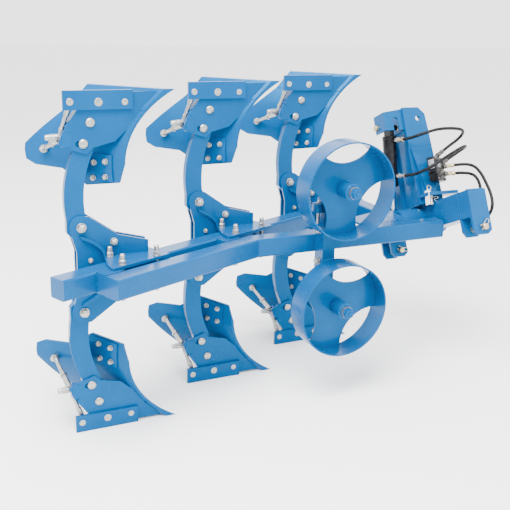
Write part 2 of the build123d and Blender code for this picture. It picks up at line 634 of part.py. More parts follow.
def headstock():
    x0, x1, h = ARM
    inner_end = CLEVIS_OUT - CLEVIS_T - CLEVIS_GAP - CLEVIS_T
    arm = block(x0, x1, -CLEVIS_OUT + CLEVIS_T, CLEVIS_OUT - CLEVIS_T, -h, h)
    hub = rod_x(0, 0, HUB_R, x0, x1 + 15)
    for side in (1, -1):
        low, high = sorted((side * (HUB_R + ARM_WALL), side * (inner_end - ARM_WALL)))
        arm -= block(x0 + ARM_WALL, x1 - ARM_WALL, low, high, -h + ARM_WALL, h - ARM_WALL)
    beam = arm + hub - rod_x(0, 0, SHAFT_R + RUNNING, x0 - 5, x1 + 30)
    pieces["hitch_crossbeam"] = HEAD * beam.solids()[0]

    ears = []
    for side in (1, -1):
        outer = sorted((side * CLEVIS_OUT, side * (CLEVIS_OUT - CLEVIS_T)))
        ear = flat([(x0, h), (x1, h), (x1, -CLEVIS_DROP + 18), (x1 - 24, -CLEVIS_DROP),
                    (x0 + 18, -CLEVIS_DROP), (x0, -CLEVIS_DROP + 26)])
        inner = flat([(x0, -h), (x1, -h), (x1, -CLEVIS_DROP + 18), (x1 - 24, -CLEVIS_DROP),
                      (x0 + 18, -CLEVIS_DROP), (x0, -CLEVIS_DROP + 26)])
        inner_y = sorted((side * (inner_end + CLEVIS_T), side * inner_end))
        for face, (y0, y1) in ((ear, outer), (inner, inner_y)):
            plate = plate_y(face, y0, y1)
            plate -= rod_y(LINK_PIN_X, LINK_PIN_Z, LINK_PIN_R, y0 - 1, y1 + 1)
            ears.append(HEAD * plate)
    group("hitch_clevises", ears)
    pins = []
    for low in (-CLEVIS_OUT, inner_end):
        high = low + 2 * CLEVIS_T + CLEVIS_GAP
        pins.append(HEAD * rod_y(LINK_PIN_X, LINK_PIN_Z, LINK_PIN_R, low - 16, high + 12))
    group("lower_link_pins", pins)

    mast = []
    tx, tz, tr = TOP_HOLE
    m0, m1 = MAST_X
    side_face = flat([(m0, h), (m0 - 10, 330), (m0 - 10, MAST_TOP), (m1 - 40, MAST_TOP), (m1 - 6, MAST_TOP - 34),
                      (m1, 430), (m1 + 16, h)])
    for y0 in (-MAST_OUT, MAST_OUT - MAST_T):
        plate = plate_y(side_face, y0, y0 + MAST_T)
        plate -= rod_y(tx, tz, tr, y0 - 1, y0 + MAST_T + 1)
        mast.append(HEAD * plate)
    group("mast_plates", mast)
    gap = MAST_OUT - MAST_T

    # plates that slope from the mast's flanks out to the lock plate, and their mirror image
    foot_y, foot_z = STIFF_FOOT
    slope = hypot(foot_y - MAST_OUT, STIFF_TOP - foot_z)
    slant = (0, foot_z - STIFF_TOP, foot_y - MAST_OUT)
    plane = Plane(origin=(0, -MAST_OUT, STIFF_TOP), x_dir=(1, 0, 0), z_dir=slant)
    outline = [(m0 - 4, 0), (m1 - 5, 0), (m0 + 82, -slope), (m0 + 25, -slope)]
    near = extrude(plane * flat(outline), STIFF_T)
    far = mirror(near, Plane.XZ)
    group("mast_stiffeners", [HEAD * near, HEAD * far])
    lock = block(m0, 1925, LOCK_PIN[1] - 18, -MAST_OUT, foot_z - 16, foot_z)
    lock_x, lock_y = LOCK_PIN
    lock -= rod_z(lock_x, lock_y, LOCK_R + 0.05, 0, 300)
    pieces["lock_plate"] = HEAD * lock
    webs = [block(m0 + 12, m0 + 24, -gap, gap, h, CYL_PIVOT_Z - 40)]
    notch = block(m0, m0 + 40, MAST_OUT - 1, MAST_OUT + 12, STIFF_TOP - 20, STIFF_TOP + 3)
    for wing, plate in ((NEAR_WING, near + lock), (FAR_WING, far + notch)):
        webs += (plate_x(flat(wing), m0 + 12, m0 + 24) - plate).solids()
    group("mast_web", [HEAD * web for web in webs])
    pin = rod_z(lock_x, lock_y, LOCK_R, LOCK_LOW, foot_z + 14)
    pin += Pos(lock_x, lock_y, LOCK_LOW + 12) * Cone(11, LOCK_R, 24)
    pin += rod_z(lock_x, lock_y, 12, foot_z - 24, foot_z - 18)
    pieces["lock_pin"] = HEAD * pin.solids()[0]
    valve = Pos(*VALVE_AT) * Rot(0, 0, VALVE_TURN) * Box(*VALVE_SIZE) - near
    pieces["valve_block"] = HEAD * max(valve.solids(), key=lambda s: s.volume)
    hydraulics(valve)

    # open box that carries the cylinder's top pin, with a slot for the cylinder's lug
    cx = CYLINDER_X
    low, high = CYL_PIVOT_Z - 30, CYL_PIVOT_Z + 68
    left = cx - BOX_REAR
    shoulder = high - 8
    cheek = block(left - BRACKET_T, left, -BOX_NEAR, BOX_FAR, low, shoulder)
    outer = left - BRACKET_T
    outline = [(outer, low), (m0 - 10, low), (m0 - 10, high + 6), (outer, shoulder)]
    front = plate_y(flat(outline), -BOX_NEAR - BRACKET_T, -BOX_NEAR)
    front -= block(cx - LUG_SLOT / 2, cx + LUG_SLOT / 2, -200, 0, low - 1, CYL_PIVOT_Z + 20)
    front -= rod_y(cx, CYL_PIVOT_Z + 20, LUG_SLOT / 2, -200, 0)
    tie = block(m0, m0 + BRACKET_T, -gap, gap, low, high)
    carrier = cheek + front
    carrier -= rod_x(0, CYL_PIVOT_Z, CYL_PIN_R, cx - 200, cx + 200)
    tie -= rod_x(0, CYL_PIVOT_Z, CYL_PIN_R, cx - 200, cx + 200)
    group("cylinder_bracket", [HEAD * carrier.solids()[0], HEAD * tie])
    stubs = [rod_x(0, CYL_PIVOT_Z, CYL_PIN_R, left - BRACKET_T - 9, left),
             rod_x(0, CYL_PIVOT_Z, CYL_PIN_R, m0, m0 + BRACKET_T + 6)]
    group("cylinder_top_pin", [HEAD * stub for stub in stubs])


# ---- turnover cylinder ----
BARREL_R = 33.0
BARREL_TOP = 42.0
BARREL_END = 290.0
ROD_R = 18.0
EYE_R = 26.0
TOP_LUG_T = 24.0
PORTS = (-64.0, -240.0)  # below the top pin
PORT_REACH = 80.0  # from the barrel's middle to the hose
PORT_TURN = 9.0


def cylinder():
    place, length = cylinder_place()
    half = TOP_LUG_T / 2
    barrel = rod_z(0, 0, BARREL_R, -BARREL_END, -BARREL_TOP)
    barrel += rod_x(0, 0, EYE_R, -half, half) + block(-half, half, -EYE_R, EYE_R, -BARREL_TOP - 5, 0)
    barrel += rod_x(0, 0, CYL_PIN_R, -BOX_REAR + 0.5, BOX_HALF - 0.5)
    for z in PORTS:
        port = rod_y(0, 0, FITTING_R, -PORT_REACH, -BARREL_R + 4)
        port += rod_y(0, 0, 12, -BARREL_R - 14, -BARREL_R + 4)
        barrel += Pos(0, 0, z) * Rot(0, 0, PORT_TURN) * port
    barrel -= rod_z(0, 0, ROD_R + RUNNING, -BARREL_END - 1, -BARREL_TOP - 30)
    pieces["cylinder_barrel"] = place * barrel.solids()[0]
    rod = rod_z(0, 0, ROD_R, -length + EYE_R - 8, -BARREL_TOP - 140)
    rod += rod_x(0, -length, EYE_R, -EYE_W / 2, EYE_W / 2)
    pieces["cylinder_rod"] = place * rod.solids()[0]
    print("cylinder top", place.position, "eye", (CYLINDER_X, AXIS_Y + CRANK_R, 0), "length", length)


beams()
corner_gussets()
turnover_shaft()
bodies()
wheels()
headstock()
cylinder()

# ---- write the pieces, with the origin on the ground under the middle ----
hoses = [row[0] for row in HOSES]
whole = Compound(children=[s for name, shape in pieces.items() if name not in hoses for s in shape.solids()])
box = whole.bounding_box()
shift = Pos(-(box.min.X + box.max.X) / 2, -(box.min.Y + box.max.Y) / 2, -box.min.Z)
print("size", box.size, "shift", shift.position)
for name, shape in pieces.items():
    moved = [shift * solid for solid in shape.solids()]
    export_step(moved[0] if len(moved) == 1 else Compound(children=moved), f"parts/{name}.step")
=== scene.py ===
"""Reversible moldboard plough: finishes, fasteners, hydraulics and studio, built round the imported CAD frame.

Places are given in millimetres in the plough's own frame: X along the travel and Y to its left from the
heel of the rear landside, Z up from the middle of the beams. Lower bodies are written out, and upper ones are
mirrored.
"""

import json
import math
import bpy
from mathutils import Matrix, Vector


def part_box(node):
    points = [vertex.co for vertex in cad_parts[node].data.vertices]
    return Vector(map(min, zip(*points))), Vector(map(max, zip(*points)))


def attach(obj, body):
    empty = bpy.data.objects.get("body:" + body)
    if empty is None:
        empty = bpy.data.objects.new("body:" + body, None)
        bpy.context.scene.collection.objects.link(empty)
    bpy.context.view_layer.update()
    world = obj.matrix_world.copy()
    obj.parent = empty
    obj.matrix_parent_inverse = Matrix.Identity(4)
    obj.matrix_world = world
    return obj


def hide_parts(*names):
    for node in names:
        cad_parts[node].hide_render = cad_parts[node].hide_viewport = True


bl_info = {
    "name": "Moldboard plough studio",
    "version": (1, 0, 0),
    "blender": (4, 5, 0),
    "location": "View3D > Sidebar > Plough",
    "description": "Finishes and fittings of a three furrow reversible plough, with its studio",
    "category": "Object",
}

import bpy
from bpy.props import FloatProperty, FloatVectorProperty, PointerProperty
from mathutils import Matrix, Vector

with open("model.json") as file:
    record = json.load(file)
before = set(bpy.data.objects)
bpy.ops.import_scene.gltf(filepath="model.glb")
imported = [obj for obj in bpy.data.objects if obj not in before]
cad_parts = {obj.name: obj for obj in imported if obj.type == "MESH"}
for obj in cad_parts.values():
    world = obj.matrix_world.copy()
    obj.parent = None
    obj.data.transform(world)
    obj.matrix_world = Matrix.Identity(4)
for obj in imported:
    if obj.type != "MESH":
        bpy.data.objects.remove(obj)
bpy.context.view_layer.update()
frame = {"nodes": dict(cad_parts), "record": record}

MM = 0.001
HEEL_LOW, HEEL_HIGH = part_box("landsides_rear")
ORIGIN = Vector((HEEL_LOW[0], HEEL_LOW[1], (HEEL_LOW[2] + HEEL_HIGH[2]) / 2))

# ---- sizes shared with the steel ----
BODY_STEP, FURROW = 569.0, 253.0
BEAM_ANGLE = math.atan2(FURROW, BODY_STEP)
BACK_BEAM_Y = -172.0
AXIS_Y, ROLL = 240.0, math.radians(-25)
SWEEP = math.radians(135.4)
LEVEL = Vector((math.cos(SWEEP), math.sin(SWEEP), 0))
FORWARD = Vector((LEVEL.y, -LEVEL.x, 0))
FACE_R, FACE_N, FACE_D = 352.0, 158.0, 400.0
STATIONS = ("rear", "middle", "front")
STUDS = ((180, -20), (350, -20), (210, 90), (372, 100))
WHEEL_X, WHEEL_Z = 1145.0, 262.0
HOSE_R = 7.5
NEAR, FAR, UPWARD = (0, -1, 0), (0, 1, 0), (0, 0, 1)
STUD_SEAT = 52  # height of the brackets' plates, where the clamp nuts stand
FRONT_FACE, BACK_FACE = 8, 62  # the two sides of a leg with its cheeks
PAD_BACK = 16.0  # from the moldboard's face to the back of its pad
CAMERA_YAW, CAMERA_PITCH, CAMERA_ROLL = math.radians(64.75), math.radians(17.2), math.radians(1.64)
CAMERA_FROM_HEEL = Vector((-0.593, -2.896, 0.982))

PLACE = Matrix.Translation(ORIGIN) @ Matrix.Diagonal((MM, MM, MM, 1))
HEAD = PLACE @ Matrix.Translation((0, AXIS_Y, 0)) @ Matrix.Rotation(ROLL, 4, "X")
ALONG_BEAM = PLACE @ Matrix.Translation((0, BACK_BEAM_Y, 0)) @ Matrix.Rotation(BEAM_ANGLE, 4, "Z")
FLIP = Matrix.Diagonal((1, 1, -1, 1))


def station(k):
    return PLACE @ Matrix.Translation((k * BODY_STEP, k * FURROW, 0))


def face_n(d, deeper=0.0):
    """How far forward the moldboard's face is at distance d below the beam."""
    r = FACE_R + deeper
    return FACE_N + FACE_R - math.sqrt(r * r - (d - FACE_D) ** 2)


def on_board(w, d, deeper=0.0):
    """A point of the moldboard, or of a sheet behind it, and the way it faces."""
    n = face_n(d, deeper)
    point = FORWARD * n + LEVEL * w + Vector((0, 0, -d))
    centre = FORWARD * (FACE_N + FACE_R) + LEVEL * w + Vector((0, 0, -FACE_D))
    return point, (centre - point).normalized()


# ---- shader expressions ----
class Wire:
    """A socket, with its adding and multiplying written as in a formula."""

    def __init__(self, shade, socket):
        self.shade, self.socket = shade, socket

    def math(self, operation, *others):
        return self.shade.node("ShaderNodeMath", {"operation": operation}, self, *others)

    def __add__(self, other):
        return self.math("ADD", other)

    def __mul__(self, other):
        return self.math("MULTIPLY", other)

    def over(self, edge, width):
        """0 below the edge, 1 above it, with a soft step of the given width."""
        return self.shade.node(
            "ShaderNodeMapRange", {"interpolation_type": "SMOOTHSTEP"}, self, edge, edge + width
        )


class Shade:
    """A material under way."""

    def __init__(self, name, **fixed):
        self.material = bpy.data.materials.new(name)
        self.material.use_nodes = True
        self.tree = self.material.node_tree
        self.surface = self.tree.nodes["Principled BSDF"]
        for socket, value in fixed.items():
            self.surface.inputs[socket.replace("_", " ")].default_value = value

    def node(self, kind, settings=None, *values, output=0, **named):
        made = self.tree.nodes.new(kind)
        for key, value in (settings or {}).items():
            setattr(made, key, value)
        for key, value in list(enumerate(values)) + list(named.items()):
            socket = made.inputs[key.replace("_", " ") if isinstance(key, str) else key]
            if isinstance(value, Wire):
                self.tree.links.new(value.socket, socket)
            elif value is not None:
                socket.default_value = value
        return Wire(self, made.outputs[output])

    def place(self):
        return self.node("ShaderNodeTexCoord", output=3)

    def noise(self, scale, detail=3.0, rough=0.5):
        return self.node(
            "ShaderNodeTexNoise", None, Vector=self.place(), Scale=scale, Detail=detail, Roughness=rough
        )

    def blend(self, mask, a, b):
        made = self.tree.nodes.new("ShaderNodeMix")
        made.data_type = "RGBA"
        for socket, value in ((made.inputs[0], mask), (made.inputs[6], a), (made.inputs[7], b)):
            if isinstance(value, Wire):
                self.tree.links.new(value.socket, socket)
            elif isinstance(value, (int, float)):
                socket.default_value = value
            else:
                socket.default_value = (*value, 1.0)
        return Wire(self, made.outputs[2])

    def feed(self, socket, wire):
        self.tree.links.new(wire.socket, self.surface.inputs[socket])

    def bump(self, height, strength, distance):
        self.feed("Normal", self.node("ShaderNodeBump", None, strength, distance, Height=height))


def paint(name, colour, pale, gloss, coat):
    """Sprayed enamel: orange peel, a little cloud in the colour, and dust that dulls it in patches."""
    shade = Shade(name, Coat_Roughness=0.06, Specular_IOR_Level=0.35, Specular_Tint=(0.05, 0.5, 1.0, 1.0))
    cloud = shade.noise(7.0, 4.0)
    dust = shade.noise(38.0, 6.0, 0.7).over(0.56, 0.2)
    base = shade.blend(cloud.over(0.35, 0.3), colour, pale)
    shade.feed("Base Color", shade.blend(dust * 0.015, base, (0.25, 0.30, 0.34)))
    shade.feed("Roughness", cloud * 0.08 + dust * 0.14 + gloss)
    shade.feed("Coat Weight", dust * -0.1 + coat)
    peel = shade.noise(320.0, 2.0)
    runs = shade.noise(24.0, 2.0)
    shade.bump(peel * 0.35 + runs, 0.10, 0.0015)
    return shade.material


def plating(name, colour, tint, rough):
    """Zinc plating, bright or yellow, cloudy from the bath and rubbed by spanners."""
    shade = Shade(name, Metallic=1.0)
    cloud = shade.noise(160.0, 4.0, 0.6)
    grain = shade.noise(900.0, 2.0)
    shade.feed("Base Color", shade.blend(cloud.over(0.38, 0.3), colour, tint))
    shade.feed("Roughness", cloud * 0.25 + grain * 0.08 + rough)
    shade.bump(grain, 0.12, 0.0006)
    return shade.material


def black_paint(name, colour, rough):
    shade = Shade(name, Coat_Weight=0.15, Coat_Roughness=0.1, Specular_IOR_Level=0.12)
    cloud = shade.noise(45.0, 4.0)
    shade.feed("Base Color", shade.blend(cloud.over(0.4, 0.3), colour, tuple(3 * c for c in colour)))
    shade.feed("Roughness", cloud * 0.2 + rough)
    shade.bump(shade.noise(420.0, 2.0), 0.10, 0.0008)
    return shade.material


def hose_rubber():
    """Wrapped hose cover: fine cross weave, with bloom on it."""
    shade = Shade("hose_rubber", Specular_IOR_Level=0.15)
    bloom = shade.noise(60.0, 4.0)
    shade.feed("Base Color", shade.blend(bloom.over(0.4, 0.3), (0.004, 0.004, 0.005), (0.012, 0.012, 0.013)))
    shade.feed("Roughness", bloom * 0.2 + 0.36)
    shade.bump(shade.noise(1500.0, 1.0), 0.25, 0.0004)
    return shade.material


def chrome():
    shade = Shade("chrome_rod", Metallic=1.0)
    smear = shade.noise(70.0, 3.0)
    shade.feed("Base Color", shade.blend(smear, (0.62, 0.63, 0.66), (0.78, 0.78, 0.78)))
    shade.feed("Roughness", smear * 0.14 + 0.05)
    return shade.material


def bare_label():
    """Blank aluminium plate, brushed along its length."""
    shade = Shade("bare_label", Metallic=0.75)
    brush = shade.node(
        "ShaderNodeTexNoise", None, Vector=shade.node(
            "ShaderNodeMapping", None, shade.place(), Scale=(40, 900, 900)), Scale=1.0, Detail=3.0
    )
    shade.feed("Base Color", shade.blend(brush, (0.20, 0.21, 0.24), (0.30, 0.31, 0.34)))
    shade.feed("Roughness", brush * 0.2 + 0.35)
    return shade.material


def tag_card():
    shade = Shade("tag_card")
    fibre = shade.noise(700.0, 3.0)
    shade.feed("Base Color", shade.blend(fibre, (0.72, 0.73, 0.74), (0.86, 0.87, 0.88)))
    shade.feed("Roughness", fibre * 0.2 + 0.55)
    shade.bump(fibre, 0.1, 0.0004)
    return shade.material


MATERIALS = {}


def make_materials(look):
    blue = tuple(look.blue)
    pale = tuple(min(1, 1.12 * c) for c in blue)
    MATERIALS["blue_paint"] = paint("blue_enamel", blue, pale, look.gloss, look.coat)
    MATERIALS["zinc"] = plating("bright_zinc", (0.30, 0.30, 0.29), (0.50, 0.50, 0.48), 0.26)
    MATERIALS["zinc_yellow"] = plating("yellow_zinc", (0.46, 0.37, 0.20), (0.62, 0.50, 0.33), 0.28)
    MATERIALS["dark_zinc"] = plating("dark_zinc", (0.07, 0.07, 0.07), (0.18, 0.17, 0.15), 0.3)
    MATERIALS["black_paint"] = black_paint("black_enamel", (0.003, 0.003, 0.004), 0.2)
    MATERIALS["hose_rubber"] = hose_rubber()
    MATERIALS["chrome_rod"] = chrome()
    MATERIALS["label"] = bare_label()
    MATERIALS["card"] = tag_card()


# ---- modelling helpers ----
def clear():
    bpy.ops.object.select_all(action="DESELECT")


def pick(thing):
    clear()
    thing.select_set(True)
    bpy.context.view_layer.objects.active = thing


def settle(thing):
    pick(thing)
    bpy.ops.object.transform_apply(location=True, rotation=True, scale=True)


def turned(rings, sides=24, crease=35):
    """A closed solid round +Z through the (height, radius) rings, in millimetres."""
    clear()
    z, r = rings[0]
    bpy.ops.mesh.primitive_circle_add(vertices=sides, radius=r, fill_type="NGON", location=(0, 0, z))
    thing = bpy.context.object
    settle(thing)
    bpy.ops.object.mode_set(mode="EDIT")
    bpy.ops.mesh.select_all(action="SELECT")
    for next_z, next_r in rings[1:]:
        bpy.ops.mesh.extrude_region_move(
            TRANSFORM_OT_translate={"value": (0, 0, next_z - z), "orient_type": "GLOBAL"}
        )
        factor = next_r / r
        bpy.ops.transform.resize(value=(factor, factor, 1), center_override=(0, 0, next_z))
        z, r = next_z, next_r
    bpy.ops.mesh.select_all(action="SELECT")
    bpy.ops.mesh.normals_make_consistent(inside=False)
    bpy.ops.object.mode_set(mode="OBJECT")
    bpy.ops.object.shade_smooth_by_angle(angle=math.radians(crease))
    return thing


def slab(size, bevel, centre=(0, 0, 0)):
    """A plate with rounded edges, in millimetres."""
    clear()
    bpy.ops.mesh.primitive_cube_add(size=1, location=centre)
    thing = bpy.context.object
    thing.scale = size
    settle(thing)
    bpy.ops.object.mode_set(mode="EDIT")
    bpy.ops.mesh.select_all(action="SELECT")
    bpy.ops.mesh.bevel(offset=bevel, offset_type="OFFSET", segments=2, affect="EDGES")
    bpy.ops.object.mode_set(mode="OBJECT")
    bpy.ops.object.shade_smooth_by_angle(angle=math.radians(35))
    return thing


def bent_wire(points, radius, cyclic=False, kind="NURBS", swell=(1.0,), sides=2):
    """Wire or rod along points, as a mesh, in millimetres."""
    curve = bpy.data.curves.new("wire", "CURVE")
    curve.dimensions = "3D"
    spline = curve.splines.new(kind)
    spline.points.add(len(points) - 1)
    for n, (slot, point) in enumerate(zip(spline.points, points)):
        slot.co = (*point, 1)
        slot.radius = swell[n % len(swell)]
    spline.use_cyclic_u = cyclic
    if kind == "NURBS":
        spline.order_u = 3
        spline.use_endpoint_u = not cyclic
    curve.bevel_depth = radius
    curve.bevel_resolution = sides
    curve.use_fill_caps = True
    thing = bpy.data.objects.new("wire", curve)
    bpy.context.collection.objects.link(thing)
    pick(thing)
    bpy.ops.object.convert(target="MESH")
    thing = bpy.context.object
    bpy.ops.object.shade_smooth()
    return thing


def toward(point, way, spin=0.0):
    """A place whose +Z looks along way."""
    turn = Vector(way).normalized().to_track_quat("Z", "Y").to_matrix().to_4x4()
    return Matrix.Translation(Vector(point)) @ turn @ Matrix.Rotation(spin, 4, "Z")


class Kit:
    """Collects copies of modelled things, and joins them into one piece."""

    def __init__(self, name, body, slot, look=None):
        self.name, self.body, self.slot, self.look = name, body, slot, look
        self.things = []

    def add(self, master, *places):
        for place in places:
            copy = bpy.data.objects.new(master.name, master.data.copy())
            bpy.context.collection.objects.link(copy)
            copy.data.transform(place)
            if place.determinant() < 0:
                copy.data.flip_normals()
            self.things.append(copy)
        return self

    def done(self, *replaced):
        clear()
        for thing in self.things:
            thing.select_set(True)
        bpy.context.view_layer.objects.active = self.things[0]
        if len(self.things) > 1:
            bpy.ops.object.join()
        piece = bpy.context.view_layer.objects.active
        piece.name = self.name
        piece.data.name = self.name
        piece.data.materials.clear()
        piece.data.materials.append(MATERIALS[self.look or self.slot])
        for polygon in piece.data.polygons:
            polygon.material_index = 0
        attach(piece, self.body)
        if replaced:
            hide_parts(*replaced)
        return piece


MASTERS = {}


def master(name, make):
    """A thing modelled once, kept aside until everything is placed."""
    if name not in MASTERS:
        MASTERS[name] = make()
    return MASTERS[name]


def drop_masters():
    for thing in MASTERS.values():
        bpy.data.objects.remove(thing)
    MASTERS.clear()


def hex_rings(flats, height):
    """Rings of a six-sided nut or head with its corners taken off."""
    r = flats / math.sqrt(3)
    return [(0, 0.93 * r), (0.08 * height, r), (0.88 * height, r), (height, 0.86 * r)]


def nut(flats=24.0, height=13.0, washer=16.0, stud=8.0, proud=6.0):
    """Washer, nut and the end of its bolt, standing on +Z."""
    parts = [
        turned([(0, washer), (2.4, washer), (3.0, washer - 0.8)], 28),
        turned([(3 + z, r) for z, r in hex_rings(flats, height)], 6, 20),
    ]
    if proud > 0:
        top = 3 + height
        parts.append(turned([(top - 1, stud), (top + proud - 2, stud), (top + proud, stud - 1.8)], 18))
    return joined(parts)


def joined(parts):
    clear()
    for part in parts:
        part.select_set(True)
    bpy.context.view_layer.objects.active = parts[0]
    bpy.ops.object.join()
    return bpy.context.view_layer.objects.active


def round_head(r=18.0, height=9.5):
    """Smooth domed head of a coach bolt."""
    steps = 7
    rings = [(0, r), (1.2, r)]
    for n in range(1, steps + 1):
        a = n / steps * math.pi / 2
        rings.append((1.2 + (height - 1.2) * math.sin(a), max(0.4, r * math.cos(a))))
    return turned(rings, 32, 60)


def flush_head(r):
    """Countersunk head, ground bright and standing just proud of its plate."""
    return turned([(0, r), (0.9, r), (1.4, r - 0.8), (1.7, r - 4), (1.7, 0.6)], 30, 25)


def both_ways(base, places):
    """The places on a lower body and their mirror images on the upper one."""
    return [base @ p for p in places] + [base @ FLIP @ p for p in places]


# ---- operators ----
class PLOUGH_OT_finishes(bpy.types.Operator):
    """Make the finishes and give every steel node its own"""

    bl_idname = "plough.finishes"
    bl_label = "Finishes"

    def execute(self, context):
        make_materials(context.scene.plough_look)
        slots = {s["node"]: s["material_slot"] for s in frame["record"]["subparts"]}
        for node, thing in frame["nodes"].items():
            thing.data.materials.clear()
            thing.data.materials.append(MATERIALS["dark_zinc" if node == "valve_fittings" else slots[node]])
        return {"FINISHED"}


# on the near faces of a lower body: x, distance below the beam
ROUND_HEADS = ((100, 563), (72, 486))
LANDSIDE_HEADS = ((26, 640, 13), (130, 637, 15), (228, 636, 12))
BRACKET_NUTS = ((176, 106, "shear_nut"), (84, 39, "low_nut"))
PIVOT = (53, 170)
# on the back of the moldboard's pad: along its level lines, distance below the beam
PAD_NUTS = ((-28, 343.7), (-82, 352), (-35, 403), (-84, 410.4))
SHARE_HEADS = ((-150, 640), (-60, 640), (30, 640))


class PLOUGH_OT_body_bolts(bpy.types.Operator):
    """Bolts of the frogs, landsides, brackets, pads and shares of every body"""

    bl_idname = "plough.body_bolts"
    bl_label = "Body bolts"

    def execute(self, context):
        dome = master("dome", round_head)
        flush = {r: master(f"flush_{r}", lambda: flush_head(r)) for r in (12, 13, 15)}
        small = master("small_nut", lambda: nut(17, 9, 11.5, 5, 5))
        large = master("large_nut", lambda: nut(28, 16, 19, 9, 5))
        nuts = {"shear_nut": master("shear_nut", lambda: nut(22, 12, 15, 7, 5)),
                "low_nut": master("low_nut", lambda: nut(15, 8, 10, 5, 4))}
        for k, name in enumerate(STATIONS):
            kit = Kit(f"bolts_{name}", "frame", "zinc")
            base = station(k)
            kit.add(dome, *both_ways(base, [toward((x, 12, -d), NEAR) for x, d in ROUND_HEADS]))
            for x, d, r in LANDSIDE_HEADS:
                kit.add(flush[r], *both_ways(base, [toward((x, 0, -d), NEAR)]))
            for x, d, kind in BRACKET_NUTS:
                places = [toward((x, FRONT_FACE, -d), NEAR, 0.2 + x), toward((x, BACK_FACE, -d), FAR, x)]
                kit.add(nuts[kind], *both_ways(base, places))
            x, d = PIVOT
            places = [toward((x, FRONT_FACE, -d), NEAR, 0.4), toward((x, BACK_FACE, -d), FAR, 0.1)]
            kit.add(large, *both_ways(base, places))
            places = []
            for w, d in PAD_NUTS:
                point, way = on_board(w, d, PAD_BACK)
                places.append(toward(point, -way, w))
            kit.add(small, *both_ways(base, places))
            heads = [toward(*on_board(w, d)) for w, d in PAD_NUTS + SHARE_HEADS]
            kit.add(flush[12], *both_ways(base, heads))
            kit.done()
        return {"FINISHED"}


class PLOUGH_OT_clamp_nuts(bpy.types.Operator):
    """Nuts and washers on the studs that clamp the brackets to the beam"""

    bl_idname = "plough.clamp_nuts"
    bl_label = "Clamp nuts"

    def execute(self, context):
        heavy = master("clamp_nut", lambda: joined([
            nut(24, 15, 15.5, 8, 0), turned([(17, 10), (37, 10), (40, 7.5)], 20)]))
        for k, name in enumerate(STATIONS):
            kit = Kit(f"clamp_nuts_{name}", "frame", "zinc")
            base = Matrix.Translation(Vector((k * BODY_STEP, k * FURROW, 0)) * MM) @ ALONG_BEAM
            kit.add(heavy, *both_ways(base, [toward((s, t, STUD_SEAT), UPWARD, s) for s, t in STUDS]))
            kit.done()
        return {"FINISHED"}


STAY_TOP, STAY_EAR, STAY_FOOT = Vector((-29, 226, -439)), Vector((-10, 50, -500)), Vector((32, 32, -630))


def between(a, b):
    """The place at a, with +Z towards b."""
    return toward(a, (b - a).normalized())


class PLOUGH_OT_stays(bpy.types.Operator):
    """Adjusting stays behind the moldboards' tails"""

    bl_idname = "plough.stays"
    bl_label = "Stays"

    def execute(self, context):
        long = (STAY_TOP - STAY_EAR).length
        upper = master("stay_rod", lambda: turned(
            [(0, 13), (26, 13), (28, 11.5), (66, 11.5), (68, 10), (74, 9), (long - 26, 8), (long - 14, 10),
             (long - 4, 10), (long, 6)], 20))
        lock = master("stay_nut", lambda: turned([(70 + z, r) for z, r in hex_rings(26, 12)], 6, 20))
        eye = master("stay_eye", lambda: turned([(-10, 13), (-9, 15), (10, 15), (11, 13)], 28))
        boss = master("stay_boss", lambda: nut(19, 9, 13, 6, 3))
        lower = master("stay_leg", lambda: turned(
            [(0, 8), (30, 8), (31, 10), (44, 10), (45, 8), (92, 8), (94, 10.5), (132, 10.5), (134, 7),
             (144, 7)], 16))
        cross = master("stay_cross", lambda: turned(
            [(0, 8.5), (3, 10.5), (16, 10.5), (18, 12.5), (44, 12.5), (46, 10.5), (62, 10.5)], 20))
        foot = master("stay_foot", lambda: turned([(0, 10), (18, 10), (20, 8)], 20))
        for k, name in enumerate(STATIONS):
            kit = Kit(f"stay_{name}", "frame", "zinc")
            base = station(k)
            kit.add(upper, *both_ways(base, [between(STAY_EAR, STAY_TOP)]))
            kit.add(lock, *both_ways(base, [between(STAY_EAR, STAY_TOP)]))
            kit.add(eye, *both_ways(base, [toward(STAY_TOP, FORWARD)]))
            kit.add(boss, *both_ways(base, [toward(STAY_TOP - FORWARD * 10, -FORWARD, 0.3)]))
            kit.add(lower, *both_ways(base, [between(STAY_EAR, STAY_FOOT)]))
            kit.add(cross, *both_ways(base, [toward((-58, STAY_EAR.y, STAY_EAR.z - 8), (1, 0, 0))]))
            kit.add(foot, *both_ways(base, [toward((STAY_FOOT.x, 20, STAY_FOOT.z), FAR)]))
            kit.done(f"stays_{name}")
        return {"FINISHED"}


